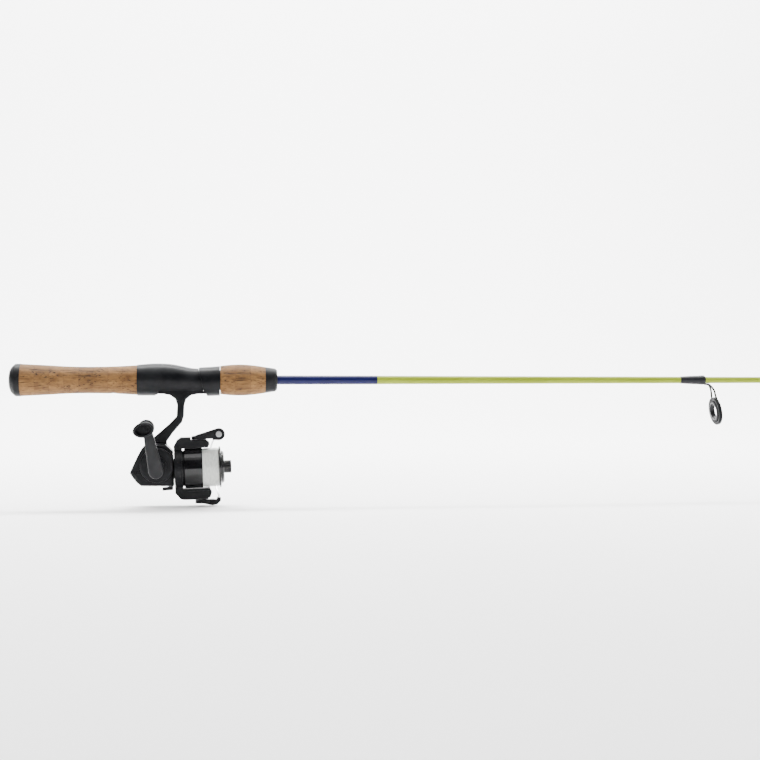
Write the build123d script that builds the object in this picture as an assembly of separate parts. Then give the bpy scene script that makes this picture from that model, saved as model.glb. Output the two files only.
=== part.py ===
"""Light spinning rod with cork grips, ring guides and a fixed-spool reel clamped in its seat.

Row frame, millimetres: +X runs along the rod from butt to tip, +Z is up and the reel hangs below the rod.
The origin is on the rod's axis, where the butt cap meets the rear cork grip.
The reel has a frame of its own, tilted nose up about Y: its X is the spool axis, and its origin lies below
the crank axle. Shapes built in that frame are placed with the REEL location.
"""

from build123d import *
import os
from math import asin, degrees, hypot, pi

# ---------------------------------------------------------------- driving dimensions: rod
BUTT_CAP_LENGTH = 9.8
BUTT_RADIUS = 13.8
REAR_GRIP_END = 96.5
CORK_RING_COUNT_REAR = 8
SEAT_HOOD_START = 145.8
HOOD_END = 166.2
FORE_GRIP_END = 204.9
FRONT_CAP_END = 215.0
SLEEVE_END = 302.0
TIP_END = 1133.0
CORK_RING_COUNT_FORE = 3

SLEEVE_RADIUS_REAR = 3.95
SLEEVE_RADIUS_FRONT = 3.80
BLANK_RADIUS_BUTT = 3.30
BLANK_RADIUS_SLEEVE_END = 3.72
BLANK_RADIUS_MIDDLE = 2.78
BLANK_RADIUS_TIP = 0.95
BLANK_MIDDLE = 652.0
BLANK_WALL = 0.9
BLANK_HOLLOW_END = 640.0

FOOT_TOP = -9.4
FOOT_BOTTOM = -11.8
FOOT_REAR = 104.0
FOOT_FRONT = 163.0
FOOT_HALF_WIDTH = 5.2
SEAT_BARREL_RADIUS = 8.6
SEAT_THREAD_RADIUS = 9.2
SEAT_BARREL_END = 198.0

# guide rings: (ring centre x, drop below the axis, ring outer radius, wire radius)
STRIPPER = (610.3, -28.0, 12.5, 0.8)
STRIPPER_LEAN = 9.0
STRIPPER_WRAP_END = 600.0
RUNNING_GUIDES = (
    (775.0, -17.5, 7.0, 0.6),
    (890.0, -13.0, 5.2, 0.5),
    (985.0, -10.7, 4.4, 0.42),
    (1065.0, -9.0, 3.6, 0.4),
)
TIP_RING_RADIUS = 3.6
TIP_RING_DROP = -4.6

# ---------------------------------------------------------------- driving dimensions: reel
REEL_X, REEL_Z, REEL_TILT = 113.3, -76.3, 2.0
CRANK_HEIGHT = 3.6
SHAFT_RADIUS = 1.3
SHAFT_REAR, SHAFT_FRONT = -16.5, 59.5
RUN = 0.05

PINION_TEETH = 8
DRIVE_TEETH = 36
CROWN_REACH = 10.4
PINION_PITCH_RADIUS = CROWN_REACH * PINION_TEETH / DRIVE_TEETH
OSC_PINION_TEETH = 12
OSC_GEAR_TEETH = 20
OSC_X, OSC_Z = -8.0, -1.706
OSC_CRANK_RADIUS = 1.6
AXLE_RADIUS = 1.8

BODY_NEAR, BODY_FAR, COVER_FAR = -12.5, 9.5, 12.5
BODY_FRONT = 13.5
BOSS_RADIUS = 14.6
BOSS_FACE = -15.0
NECK_RADIUS, NECK_FRONT = 8.6, 17.6
HOUSING_OUTLINE = (
    (-9.0, 22.3),
    (-12.2, 18.9),
    (-16.1, 12.3),
    (-20.2, 4.1),
    (-22.9, -1.4),
    (-20.4, -5.6),
    (-16.9, -10.2),
    (-13.6, -12.9),
    (BODY_FRONT, -14.2),
    (BODY_FRONT, 15.2),
    (10.3, 19.0),
    (7.6, 21.6),
    (-6.4, 23.4),
)
COVER_SCREWS = ((-16.6, -7.2), (4.0, -10.4), (-3.6, 18.4))
PINION_FRONT = 23.4

ROTOR_REAR, ROTOR_FRONT = 14.4, 21.2
ROTOR_DISC_RADIUS = 17.6
ROTOR_ARM_INNER = 18.4
ROTOR_ARM_HALF_WIDTH = 6.5
BAIL_PIVOT = 37.5
UPPER_ARM_TOP, LOWER_ARM_TOP = 24.3, 27.0
ROLLER_X, ROLLER_Z = 52.8, 28.3

SKIRT_REAR, SKIRT_FRONT = 22.8, 38.2
SKIRT_RADIUS = 17.2
LINE_RADIUS = 16.5
LIP_REAR, LIP_FRONT = 52.0, 53.6
LIP_RADIUS = 17.6
SPOOL_FACE = 56.4
SPOOL_FACE_RADIUS = 13.5
ARBOR_RADIUS = 9.5
DRAG_RECESS_RADIUS = 8.0
DRAG_RECESS_FLOOR = 46.4
DRAG_WASHER = 0.8
DRAG_KNOB_FRONT = 62.6
DRAG_KNOB_RADIUS = 5.45

CRANK_ARM_NEAR, CRANK_ARM_FAR = -42.6, -39.0
KNOB_BASE = (-6.0, -43.1, 37.8)
KNOB_DIRECTION = (-1.6, -19.5, -1.6)
KNOB_LENGTH = 19.6
KNOB_TWIST = 12.0

REEL = Location((REEL_X, 0, REEL_Z), (0, -REEL_TILT, 0))
parts = {}


# ---------------------------------------------------------------- shape helpers
def lathe(profile):
    """A solid of revolution about X from (x, radius) points."""
    face = make_face(Polyline([(x, 0, r) for x, r in profile], close=True))
    return revolve(face, Axis.X, 360)


def smooth_lathe(curve, x0, x1):
    """A turned solid whose skin is a spline through (x, radius) points, closed flat at x0 and x1."""
    points = [(x, 0, r) for x, r in curve]
    skin = Spline(points)
    ends = Polyline([points[-1], (x1, 0, 0), (x0, 0, 0), points[0]])
    return revolve(make_face(skin + ends), Axis.X, 360)


def rod_x(radius, x0, x1, y=0.0, z=0.0):
    """A cylinder along X."""
    return Location(((x0 + x1) / 2, y, z), (0, 90, 0)) * Cylinder(radius, x1 - x0)


def rod_y(radius, y0, y1, x=0.0, z=0.0):
    """A cylinder along Y."""
    return Location((x, (y0 + y1) / 2, z), (90, 0, 0)) * Cylinder(radius, y1 - y0)


def rod_z(radius, z0, z1, x=0.0, y=0.0):
    """A cylinder along Z."""
    return Location((x, y, (z0 + z1) / 2)) * Cylinder(radius, z1 - z0)


def block(x0, x1, y0, y1, z0, z1):
    """A box between two corners."""
    centre = ((x0 + x1) / 2, (y0 + y1) / 2, (z0 + z1) / 2)
    return Location(centre) * Box(x1 - x0, y1 - y0, z1 - z0)


def tube_x(outer, inner, x0, x1):
    """A plain ring or tube about the X axis."""
    return rod_x(outer, x0, x1) - rod_x(inner, x0 - 1, x1 + 1)


def outline(points, corner=None):
    """A flat face in the XZ plane from (x, z) points, its corners rounded where a radius is given."""
    face = make_face(Polyline([(x, 0, z) for x, z in points], close=True))
    return fillet(face.vertices(), corner) if corner else face


def prism_y(face, y0, y1):
    """An XZ face pushed along Y."""
    return extrude(Location((0, y0, 0)) * face, amount=y1 - y0, dir=(0, 1, 0))


def prism_x(points, x0, x1):
    """A polygon of (y, z) points pushed along X."""
    face = make_face(Polyline([(x0, y, z) for y, z in points], close=True))
    return extrude(face, amount=x1 - x0, dir=(1, 0, 0))


def wire_along(points, radius, tangents=None):
    """A round wire along a smooth curve through the points."""
    path = Spline(points, tangents=tangents) if tangents else Spline(points)
    return sweep(Plane(origin=path @ 0, z_dir=path % 0) * Circle(radius), path=path)


def coil(wire, radius, pitch, turns, centre, direction):
    """A round-wire helical spring."""
    path = Helix(pitch=pitch, height=pitch * turns, radius=radius, center=centre, direction=direction)
    return sweep(Plane(origin=path @ 0, z_dir=path % 0) * Circle(wire), path=path, is_frenet=True)


def toothed_disc(teeth, root, tip, half_base, half_tip, x0, x1, phase=0.0):
    """A straight-cut gear about X: a root disc with tapered teeth, the first at phase degrees from +Z."""
    flank = [(-half_base, root - 0.3), (half_base, root - 0.3), (half_tip, tip), (-half_tip, tip)]
    tooth = prism_x(flank, x0, x1)
    step = 360 / teeth
    return rod_x(root, x0, x1) + [Rot(X=phase + step * i) * tooth for i in range(teeth)]


def slotted_screw(head_radius, head, shank_radius, length, slot=0.6):
    """A pan-head screw along -Z from its seat at the origin, the head standing up in +Z, cross-slotted."""
    body = rod_z(head_radius, 0, head) + rod_z(shank_radius, -length, 0)
    body = fillet(body.edges().filter_by(GeomType.CIRCLE).sort_by(Axis.Z)[-1], head * 0.45)
    cut = block(-head_radius * 0.7, head_radius * 0.7, -slot / 2, slot / 2, head * 0.45, head + 1)
    return body - cut - Rot(Z=90) * cut


def in_reel(name, shape):
    """Places a shape built in the reel's own frame."""
    parts[name] = REEL * shape


# ---------------------------------------------------------------- rod
def blank_radius(x):
    """The outer radius of the rod blank at x."""
    stations = [
        (0, BLANK_RADIUS_BUTT),
        (SLEEVE_END, BLANK_RADIUS_SLEEVE_END),
        (BLANK_MIDDLE, BLANK_RADIUS_MIDDLE),
        (TIP_END, BLANK_RADIUS_TIP),
    ]
    for (x0, r0), (x1, r1) in zip(stations, stations[1:]):
        if x <= x1:
            return r0 + (r1 - r0) * (x - x0) / (x1 - x0)
    return BLANK_RADIUS_TIP


def make_blank():
    """The tapered glass blank, hollow over its lower part, and the painted sleeve over its foot."""
    butt = 4.0
    inner = BLANK_RADIUS_BUTT
    skin = [
        (butt, inner),
        (SLEEVE_END, inner),
        (SLEEVE_END, BLANK_RADIUS_SLEEVE_END),
        (BLANK_MIDDLE, BLANK_RADIUS_MIDDLE),
        (TIP_END - 1.5, blank_radius(TIP_END - 1.5)),
    ]
    blank = lathe([(butt, 0), *skin, (TIP_END - 1.5, 0)])
    hollow = [
        (butt - 1, 0),
        (butt - 1, inner - BLANK_WALL),
        (BLANK_HOLLOW_END, inner - 1.6),
        (BLANK_HOLLOW_END, 0),
    ]
    bore = lathe(hollow)
    parts["blank"] = blank - bore
    sleeve = [
        (SEAT_HOOD_START, inner),
        (SEAT_HOOD_START, SLEEVE_RADIUS_REAR),
        (FRONT_CAP_END, SLEEVE_RADIUS_REAR),
        (SLEEVE_END, SLEEVE_RADIUS_FRONT),
        (SLEEVE_END, inner),
    ]
    parts["butt_sleeve"] = lathe(sleeve)


def cork_rings(skin_solid, x0, x1, count):
    """A turned grip sliced into the cork rings it is glued up from."""
    width = (x1 - x0) / count
    slabs = [block(x0 + i * width, x0 + (i + 1) * width, -30, 30, -30, 30) for i in range(count)]
    return Compound([(skin_solid & slab).solids()[0] for slab in slabs])


def make_rear_grip():
    """The butt cap and the hourglass rear grip."""
    cap_end = -BUTT_CAP_LENGTH
    shoulder = [
        (cap_end, 0, 0),
        (cap_end + 0.45, 0, 6.6),
        (cap_end + 2.2, 0, 10.7),
        (cap_end + 4.3, 0, 12.8),
        (-3.4, 0, BUTT_RADIUS),
    ]
    dome = Spline(shoulder, tangents=[(0, 0, 1), (1, 0, 0.1)])
    land = Polyline([(-3.4, 0, BUTT_RADIUS), (0, 0, BUTT_RADIUS), (0, 0, 0), (cap_end, 0, 0)])
    cap = revolve(make_face(dome + land), Axis.X, 360)
    parts["butt_cap"] = cap + rod_x(5.5, -0.5, 3.5)
    profile = [(0, 13.6), (12, 12.95), (24, 12.35), (34, 11.75), (46, 11.3), (60, 11.25), (74, 11.5),
               (86, 12.0), (REAR_GRIP_END, 12.6)]
    grip = smooth_lathe(profile, 0, REAR_GRIP_END)
    grip = grip - rod_x(BLANK_RADIUS_BUTT, -1, REAR_GRIP_END + 1) - rod_x(5.5, -1, 3.5)
    parts["rear_grip_cork"] = cork_rings(grip, 0, REAR_GRIP_END, CORK_RING_COUNT_REAR)


def make_reel_seat():
    """The contoured reel seat with its fixed rear hood and threaded barrel."""
    sections = [
        (REAR_GRIP_END, 13.2, 0.0),
        (104.0, 13.55, 0.2),
        (113.0, 13.8, 0.4),
        (124.0, 13.45, 0.3),
        (133.0, 12.3, -0.1),
        (140.0, 11.25, -0.6),
        (SEAT_HOOD_START, 10.75, -0.8),
        (152.0, 10.6, -0.8),
    ]
    rings = [Location((x, 0, shift), (0, 90, 0)) * Circle(radius) for x, radius, shift in sections]
    grip = loft(rings)
    hood_mouth = outline([(108.5, -20), (108.5, -14.5), (114.0, FOOT_BOTTOM + 0.1), (170, FOOT_BOTTOM + 0.1),
                          (170, -20)])
    hood_mouth = prism_y(hood_mouth, -20, 20)
    half_slot = FOOT_HALF_WIDTH + 0.2
    foot_pocket = block(FOOT_REAR - 0.4, 116, -half_slot, half_slot, FOOT_BOTTOM - 0.1, FOOT_TOP)
    front_slope = outline([(SEAT_HOOD_START - 0.2, 20), (154.4, -20), (175, -20), (175, 20)])
    front_slope = prism_y(front_slope, -20, 20)
    lower_cut = block(114, 170, -20, 20, -20, FOOT_TOP)
    grip = grip - hood_mouth - foot_pocket - lower_cut - front_slope
    barrel = rod_x(SEAT_BARREL_RADIUS, 140, SEAT_BARREL_END)
    ridge = [(0, 0), (0, SEAT_BARREL_RADIUS), (0.6, SEAT_THREAD_RADIUS), (1.2, SEAT_THREAD_RADIUS),
             (1.8, SEAT_BARREL_RADIUS), (1.8, 0)]
    for i in range(12):
        start = HOOD_END + 2.0 + 2.5 * i
        barrel = barrel + lathe([(start + x, r) for x, r in ridge])
    body = grip + barrel
    body = body - block(140, HOOD_END, -20, 20, -20, FOOT_TOP)
    body = body - rod_x(BLANK_RADIUS_BUTT, 90, SEAT_HOOD_START)
    parts["reel_seat"] = body - rod_x(SLEEVE_RADIUS_REAR, SEAT_HOOD_START, 220)


def make_hood():
    """The sliding front hood that clamps the reel foot."""
    rings = [Location((x, 0, shift), (0, 90, 0)) * Circle(r) for x, r, shift in
             ((SEAT_HOOD_START - 2, 12.1, -1.5), (155.0, 12.5, -1.3), (HOOD_END - 0.2, 12.7, -0.7))]
    shell = loft(rings)
    rear_slope = prism_y(outline([(SEAT_HOOD_START, 20), (154.6, -20), (130, -20), (130, 20)]), -20, 20)
    lip = prism_y(outline([(140, -20), (155.0, -20), (155.6, -14.4), (154.4, -11.8), (140, -11.8)]), -20, 20)
    bore = rod_x(SEAT_THREAD_RADIUS + 0.35, 140, 170)
    half_slot = FOOT_HALF_WIDTH + 0.2
    foot_slot = block(140, FOOT_FRONT + 0.2, -half_slot, half_slot, FOOT_BOTTOM - 0.1, 0)
    grip_room = lathe([(140, 0), (140, 10.95), (153.4, 10.85), (154.6, 9.55), (154.6, 0)])
    parts["seat_hood"] = shell - rear_slope - lip - bore - foot_slot - grip_room


def make_fore_grip():
    """The fore grip: cork rings on a threaded nut, with a turned front cap."""
    profile = [(HOOD_END + 0.2, 12.1), (173, 12.9), (182, 13.35), (192, 12.9), (FORE_GRIP_END, 11.2)]
    bore = SEAT_THREAD_RADIUS + 1.6
    grip = smooth_lathe(profile, HOOD_END + 0.2, FORE_GRIP_END) - rod_x(bore, 160, 220)
    parts["fore_grip_cork"] = cork_rings(grip, HOOD_END + 0.2, FORE_GRIP_END, CORK_RING_COUNT_FORE)
    parts["fore_grip_nut"] = tube_x(bore, SEAT_THREAD_RADIUS + 0.3, HOOD_END + 0.2, FORE_GRIP_END - 2)
    cap = lathe([(FORE_GRIP_END, 0), (FORE_GRIP_END, 11.2), (FRONT_CAP_END - 1.6, 9.9), (FRONT_CAP_END, 8.4),
                 (FRONT_CAP_END, 0)])
    plug = rod_x(bore - 0.1, FORE_GRIP_END - 1.9, FORE_GRIP_END)
    cap = fillet(cap.edges().filter_by(GeomType.CIRCLE).sort_by(Axis.X)[-2:], 0.7) + plug
    parts["front_cap"] = cap - rod_x(SLEEVE_RADIUS_REAR + RUN, 190, 220)


def ring_at(centre_x, centre_z, lean, outer, inner, half_width):
    """A flat ring with rounded edges, its axis along the rod but leaned nose up."""
    ring = tube_x(outer, inner, -half_width, half_width)
    ring = fillet(ring.edges().filter_by(GeomType.CIRCLE), min(half_width, (outer - inner) / 2) * 0.6)
    return Location((centre_x, 0, centre_z), (0, -lean, 0)) * ring


def guide_legs(x_ring, z_ring, radius, wire, x_foot):
    """The V of two wire legs from the ring's flanks up to a foot on the underside of the blank."""
    z_foot = -blank_radius(x_foot) - wire
    legs = []
    for side in (-1, 1):
        flank = (x_ring - 0.9, side * radius * 0.5, z_ring + radius * 0.8)
        path = [
            (x_foot, side * wire, z_foot),
            (x_foot + (x_ring - x_foot) * 0.35, side * wire * 1.15, z_foot - 0.1 - wire * 0.4),
            (x_foot + (x_ring - x_foot) * 0.75, side * radius * 0.32, z_foot + (flank[2] - z_foot) * 0.45),
            flank,
        ]
        legs.append(wire_along(path, wire, tangents=[(1, 0, 0), (0.25, side * 0.4, -0.9)]))
    return legs[0] + legs[1]


def running_guide_frame(x, z, radius, wire, wrap_end):
    """A small guide: a ring hung from two wires that leave the end of its wrap side by side."""
    ring = Location((x, 0, z), (0, -STRIPPER_LEAN, 0)) * tube_x(radius, radius * 0.74, -0.9, 0.9)
    return ring + guide_legs(x, z, radius, wire, wrap_end)


def thread_wrap(x0, x1, drop):
    """Lacquered thread over a guide foot: a long bead a little fatter than the blank."""
    middle = (x0 + x1) / 2
    r0, rm, r1 = blank_radius(x0), blank_radius(middle), blank_radius(x1)
    skin = [
        (x0, r0 + 0.2),
        (x0 + (x1 - x0) * 0.3, rm + drop * 0.7),
        (x1 - 4.0, r1 + drop * 1.25),
        (x1 - 1.2, r1 + drop * 1.25),
        (x1, r1 + drop * 0.6),
    ]
    bore = lathe([(x0 - 1, 0), (x0 - 1, blank_radius(x0 - 1)), (x1 + 1, blank_radius(x1 + 1)), (x1 + 1, 0)])
    return smooth_lathe(skin, x0, x1) - bore


def make_guides():
    """The stripper guide, four running guides and their thread wraps."""
    x, z, radius, wire = STRIPPER
    wraps = [thread_wrap(577.0, STRIPPER_WRAP_END, 1.0)]
    ring = ring_at(x, z, STRIPPER_LEAN, radius, radius - 2.6, 1.5)
    parts["stripper_frame"] = ring + guide_legs(x, z, radius, wire, STRIPPER_WRAP_END)
    parts["stripper_shock_ring"] = ring_at(x, z, STRIPPER_LEAN, radius - 2.6, radius - 4.2, 1.9)
    parts["stripper_ring"] = ring_at(x, z, STRIPPER_LEAN, radius - 4.2, radius - 5.8, 2.2)
    frames, rings = [], []
    for gx, gz, gr, gw in RUNNING_GUIDES:
        wrap_end = gx - gr * 1.2 - 1.0
        frames.append(running_guide_frame(gx, gz, gr, gw, wrap_end))
        rings.append(ring_at(gx, gz, STRIPPER_LEAN, gr * 0.74, gr * 0.54, 1.1))
        wraps.append(thread_wrap(wrap_end - 15.0, wrap_end, gw * 1.5))
    parts["running_guide_frames"] = Compound([f.solids()[0] for f in frames])
    parts["running_guide_rings"] = Compound([r.solids()[0] for r in rings])
    parts["guide_wraps"] = Compound([w.solids()[0] for w in wraps])


def make_tip_top():
    """The tip-top: a tube over the tip, a ring below it and two stays."""
    tube_end = TIP_END + 0.5
    tube = rod_x(1.6, TIP_END - 14, tube_end)
    rear, front = TIP_END - 15, TIP_END - 1.5
    bore = lathe([(rear, 0), (rear, blank_radius(rear)), (front, blank_radius(front)), (front, 0)])
    ring = ring_at(TIP_END + 2.2, TIP_RING_DROP, 0, TIP_RING_RADIUS, TIP_RING_RADIUS - 0.9, 1.0)
    bridge = rod_x(1.0, TIP_END - 1.0, TIP_END + 2.6, 0, -1.0)
    stays = [wire_along([(TIP_END - 11, s * 0.9, -1.5), (TIP_END - 5, s * 1.6, -3.2),
                         (TIP_END + 1.8, s * 2.6, TIP_RING_DROP - 2.0)], 0.45) for s in (-1, 1)]
    frame = tube - bore + bridge + ring + stays[0] + stays[1]
    hole = rod_x(TIP_RING_RADIUS - 0.9, TIP_END - 4, TIP_END + 6, 0, TIP_RING_DROP)
    parts["tip_top_frame"] = frame - hole
    liner = ring_at(TIP_END + 2.2, TIP_RING_DROP, 0, TIP_RING_RADIUS - 0.9, TIP_RING_RADIUS - 1.6, 1.25)
    parts["tip_top_ring"] = liner


# ---------------------------------------------------------------- reel: housing
def hull(*discs):
    """A flat XZ face wrapped round discs given as (x, z, radius)."""
    rims = [Location((x, z)) * CenterArc((0, 0), radius, 0, 360) for x, z, radius in discs]
    return Rot(X=90) * make_face(make_hull([rim.edge() for rim in rims]))


def make_reel_body():
    """The gear housing with its stem and foot, hollow and open on the far side."""
    shell = prism_y(outline(HOUSING_OUTLINE), BODY_NEAR, BODY_FAR)
    near_rim = shell.faces().sort_by(Axis.Y)[0].edges()
    shell = fillet(near_rim, 3.2)
    boss = rod_y(BOSS_RADIUS, BOSS_FACE, BODY_NEAR + 4, 0.2, 4.2)
    boss = fillet(boss.edges().filter_by(GeomType.CIRCLE).sort_by(Axis.Y)[0], 2.0)
    boss_side = outline([(-22, -13.0), (BODY_FRONT - 0.3, -13.4), (BODY_FRONT - 0.3, 15.0), (8.0, 24.0),
                         (-14.0, 24.0)])
    boss_limit = prism_y(boss_side, -20, 0)
    collar = rod_y(8.2, BOSS_FACE - 1.6, BOSS_FACE, 0, CRANK_HEIGHT)
    collar = collar + rod_y(5.8, BOSS_FACE - 3.0, BOSS_FACE - 1.6, 0, CRANK_HEIGHT)
    neck = rod_x(NECK_RADIUS, BODY_FRONT - 1, NECK_FRONT)
    quarter = prism_y(outline([(-30, -1.8), (-8, -0.6), (-8, 30), (-30, 30)]), -20, -10.8)
    quarter = quarter - rod_y(12.4, -30, 0, 0.2, 4.2)
    cavity_side = outline([(-8.0, 20.4), (-10.8, 17.6), (-14.6, 11.4), (-18.4, 3.8), (-20.4, -1.2),
                           (-18.4, -4.8), (-15.4, -9.0), (-12.6, -11.0), (12.6, -12.4), (12.6, 14.2),
                           (9.0, 17.8), (6.8, 20.4)])
    cavity = prism_y(cavity_side, BODY_NEAR + 3.4, BODY_FAR + 1)
    inner_post = rod_y(5.6, BODY_NEAR + 1, -7.2, 0, CRANK_HEIGHT)
    body = shell - quarter + (boss & boss_limit) + collar + neck - cavity + inner_post
    body = body - rod_y(3.4, -20, -7.0, 0, CRANK_HEIGHT) - rod_x(7.0, 13.0, 20) - rod_x(3.4, 10, 14)
    body = body - rod_z(1.3 + RUN, -20, -10, 10.4, 0)
    for x, z in COVER_SCREWS:
        pillar = rod_y(2.0, BODY_NEAR + 1, BODY_FAR, x, z) - rod_y(0.9, 2, BODY_FAR + 1, x, z)
        body = body - rod_y(0.9, 2, BODY_FAR + 1, x, z) + pillar
    stem_side = outline([(117.0, FOOT_BOTTOM + 0.2), (124.0, -13.0), (128.4, -16.2), (129.9, -21.4),
                         (129.4, -31.0), (123.5, -37.2), (113.0, -46.4), (108.6, -50.2), (105.0, -54.4),
                         (121.4, -56.0), (121.2, -52.2), (126.2, -45.0), (134.0, -36.0), (135.6, -30.4),
                         (135.9, -21.4), (137.4, -16.4), (141.6, -13.0), (149.0, FOOT_BOTTOM + 0.2)])
    stem = prism_y(stem_side, -3.0, 3.0)
    waist = stem.edges().filter_by(lambda e: abs(e.length) > 4 and -49 < e.center().Z < -14)
    stem = fillet(waist.filter_by(lambda e: abs(abs(e.center().Y) - 3.0) < 0.01), 1.5)
    foot = block(FOOT_REAR, FOOT_FRONT, -FOOT_HALF_WIDTH, FOOT_HALF_WIDTH, FOOT_BOTTOM, FOOT_TOP)
    foot = fillet(foot.edges().filter_by(Axis.Z), 4.4)
    for end, inward in ((FOOT_REAR, 1), (FOOT_FRONT, -1)):
        outer, inner = end - inward, end + 12 * inward
        ramp = outline([(outer, FOOT_BOTTOM - 1), (inner, FOOT_BOTTOM), (outer, -10.4)])
        foot = foot - prism_y(ramp, -9, 9)
    cavity_roof = cavity & block(-30, 20, -9.8, 12, 20.0, 22)
    parts["reel_body"] = REEL * body + stem + foot - REEL * cavity_roof


def make_side_cover():
    """The far side cover with its axle boss, and the screws that hold it."""
    cover = prism_y(outline(HOUSING_OUTLINE), BODY_FAR, COVER_FAR)
    cover = fillet(cover.faces().sort_by(Axis.Y)[-1].edges(), 2.2)
    pocket_side = outline([(-10.8, 16.0), (-14.6, 10.4), (-13.0, -8.0), (6.0, -9.0), (11.5, -5.0),
                           (11.5, 13.0), (7.0, 17.0)])
    boss = rod_y(6.4, COVER_FAR - 1, COVER_FAR + 2.0, 0, CRANK_HEIGHT)
    cover = cover + boss - prism_y(pocket_side, BODY_FAR - 1, BODY_FAR + 1.4)
    cover = cover - rod_y(3.4, BODY_FAR - 1, COVER_FAR + 3, 0, CRANK_HEIGHT)
    screws = []
    for x, z in COVER_SCREWS:
        cover = cover - rod_y(1.0, BODY_FAR - 1, COVER_FAR + 1, x, z)
        cover = cover - rod_y(2.0, COVER_FAR - 1.1, COVER_FAR + 1, x, z)
        seat = Location((x, COVER_FAR - 1.1, z), (-90, 0, 0))
        screws.append((seat * slotted_screw(1.8, 1.2, 0.9, 7.0)).solids()[0])
    in_reel("side_cover", cover)
    in_reel("side_cover_screws", Compound(screws))
    axle_hole = rod_y(AXLE_RADIUS + RUN, -20, 20, 0, CRANK_HEIGHT)
    near = rod_y(3.4, BOSS_FACE - 3.0, -7.2, 0, CRANK_HEIGHT) - axle_hole
    far = rod_y(3.4, BODY_FAR + 0.1, COVER_FAR + 2.0, 0, CRANK_HEIGHT) - axle_hole
    in_reel("axle_bushes", Compound([near.solids()[0], far.solids()[0]]))
    cap = rod_y(5.2, COVER_FAR + 2.0, COVER_FAR + 3.4, 0, CRANK_HEIGHT)
    in_reel("axle_cap", fillet(cap.edges().filter_by(GeomType.CIRCLE).sort_by(Axis.Y)[-1], 0.9))


def make_bearing():
    """The ball bearing that carries the pinion in the housing neck."""
    groove = Rot(Y=90) * Torus(4.85, 1.2)
    outer = tube_x(7.0, 5.4, -1.5, 1.5) - groove
    inner = tube_x(4.25, 2.6, -1.5, 1.5) - Rot(Y=90) * Torus(4.85, 0.9)
    balls = [Rot(X=360 / 9 * i) * Location((0, 0, 4.85)) * Sphere(0.9) for i in range(9)]
    middle = Location((14.55, 0, 0))
    in_reel("bearing_outer_race", middle * outer)
    in_reel("bearing_inner_race", middle * inner)
    in_reel("bearing_balls", Compound([(middle * ball).solids()[0] for ball in balls]))


def make_gears():
    """The crown gear and its axle, the pinion on the spool axis and the oscillation gear."""
    half_pitch = pi * PINION_PITCH_RADIUS / PINION_TEETH
    tip, root = PINION_PITCH_RADIUS + 0.5, PINION_PITCH_RADIUS - 0.46
    teeth = toothed_disc(PINION_TEETH, root, tip, half_pitch * 0.6, half_pitch * 0.24, 9.0, 11.9, phase=22.5)
    sleeve = rod_x(2.6, 11.9, PINION_FRONT)
    in_reel("pinion_gear", teeth + sleeve - rod_x(SHAFT_RADIUS + RUN, 5, 30))

    disc_face = -(tip + 0.25)
    tooth_top = -(root + 0.2)
    crown = rod_y(12.0, disc_face - 1.6, disc_face, 0, CRANK_HEIGHT)
    profile = [(-half_pitch * 0.56, disc_face - 0.2), (half_pitch * 0.56, disc_face - 0.2),
               (half_pitch * 0.2, tooth_top), (-half_pitch * 0.2, tooth_top)]
    bar_face = make_face(Polyline([(9.3, y, z) for z, y in profile], close=True))
    bar = extrude(bar_face, amount=2.2, dir=(1, 0, 0))
    axis = Location((0, 0, CRANK_HEIGHT))
    bars = [axis * Rot(Y=360 / DRIVE_TEETH * i) * axis.inverse() * bar for i in range(DRIVE_TEETH)]
    hub = rod_y(4.2, -7.0, disc_face - 1.6, 0, CRANK_HEIGHT)
    crown = crown + bars + hub - rod_y(AXLE_RADIUS, -20, 20, 0, CRANK_HEIGHT)
    in_reel("drive_gear", crown)
    bearing = degrees(atan2_x(OSC_X, OSC_Z - CRANK_HEIGHT))
    small = toothed_disc(OSC_PINION_TEETH, 2.85, 3.95, 0.56, 0.24, 5.0, 6.5, phase=bearing)
    small = Location((0, 0, CRANK_HEIGHT)) * Rot(Z=90) * small
    hub = rod_y(3.0, 6.5, 9.3, 0, CRANK_HEIGHT)
    in_reel("oscillation_pinion", small + hub - rod_y(AXLE_RADIUS, -20, 20, 0, CRANK_HEIGHT))
    in_reel("crank_axle", rod_y(AXLE_RADIUS, CRANK_ARM_FAR, COVER_FAR + 1.7, 0, CRANK_HEIGHT))

    facing = bearing + 180 + 180 / OSC_GEAR_TEETH
    big = toothed_disc(OSC_GEAR_TEETH, 5.25, 6.4, 0.58, 0.24, 5.0, 6.5, phase=facing)
    big = Location((OSC_X, 0, OSC_Z)) * Rot(Z=90) * big
    pin = rod_y(0.8, 2.2, 5.2, OSC_X, OSC_Z - OSC_CRANK_RADIUS)
    in_reel("oscillation_gear", big + pin - rod_y(1.0 + RUN, 4, 10, OSC_X, OSC_Z))
    post = rod_y(1.0, 5.0, BODY_FAR + 1.4, OSC_X, OSC_Z) + rod_y(2.0, 6.8, BODY_FAR + 1.4, OSC_X, OSC_Z)
    in_reel("oscillation_post", post)


def atan2_x(x, z):
    """The angle of (x, z) measured from +Z toward +X, radians."""
    angle = asin(x / hypot(x, z))
    return angle if z > 0 else pi - angle


def make_anti_reverse():
    """The anti-reverse lever under the housing, on a post through the floor."""
    post = rod_z(1.3, -16.0, -11.9, 10.4, 0)
    post = post + rod_z(1.8, -11.9, -10.9, 10.4, 0) + rod_z(1.7, -16.0, -14.6, 10.4, 0)
    side = [(3.6, -18.2), (12.6, -17.9), (12.6, -14.7), (9.4, -14.7), (8.2, -15.2), (3.6, -15.6)]
    in_reel("anti_reverse_lever", post + prism_y(outline(side, 0.7), -1.9, 1.9))


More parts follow.
